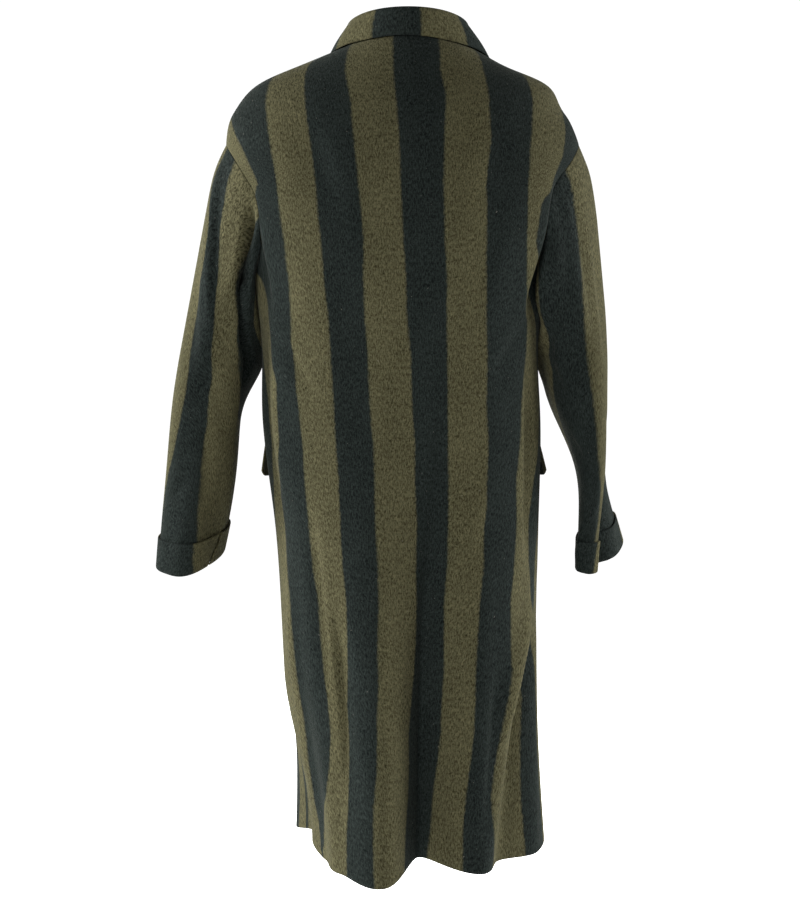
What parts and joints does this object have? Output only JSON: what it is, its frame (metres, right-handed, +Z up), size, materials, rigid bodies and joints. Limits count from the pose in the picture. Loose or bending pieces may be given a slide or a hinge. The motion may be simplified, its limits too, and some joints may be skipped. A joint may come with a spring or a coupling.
{
  "type": "wool coat",
  "caption": "long straight coat of brushed wool with broad upright stripes, turned-down collar, set-in sleeves with turned-up cuffs and pocket flaps, hollow as it hangs when worn",
  "frame": {"origin": "middle of the neck opening, level with the points where the shoulder seams meet the neck", "axes": "+Z up along the wearer's back, -Y out of the coat's front, +X to the wearer's left"},
  "size_m": [0.6675, 0.3566, 1.1435],
  "materials": {
    "striped_wool": "brushed wool coating in upright stripes of olive and blue-black",
    "button": "dark turned button with a raised rim"
  },
  "bodies": {
    "root": {"back": "striped_wool", "front_left": "striped_wool", "front_right": "striped_wool", "sleeve_upper_left": "striped_wool", "sleeve_under_left": "striped_wool", "sleeve_upper_right": "striped_wool", "sleeve_under_right": "striped_wool", "cuff_left": "striped_wool", "cuff_right": "striped_wool", "collar": "striped_wool", "flap_left": "striped_wool", "flap_right": "striped_wool", "button_1": "button", "button_2": "button", "button_3": "button", "button_4": "button"}
  },
  "joints": []
}
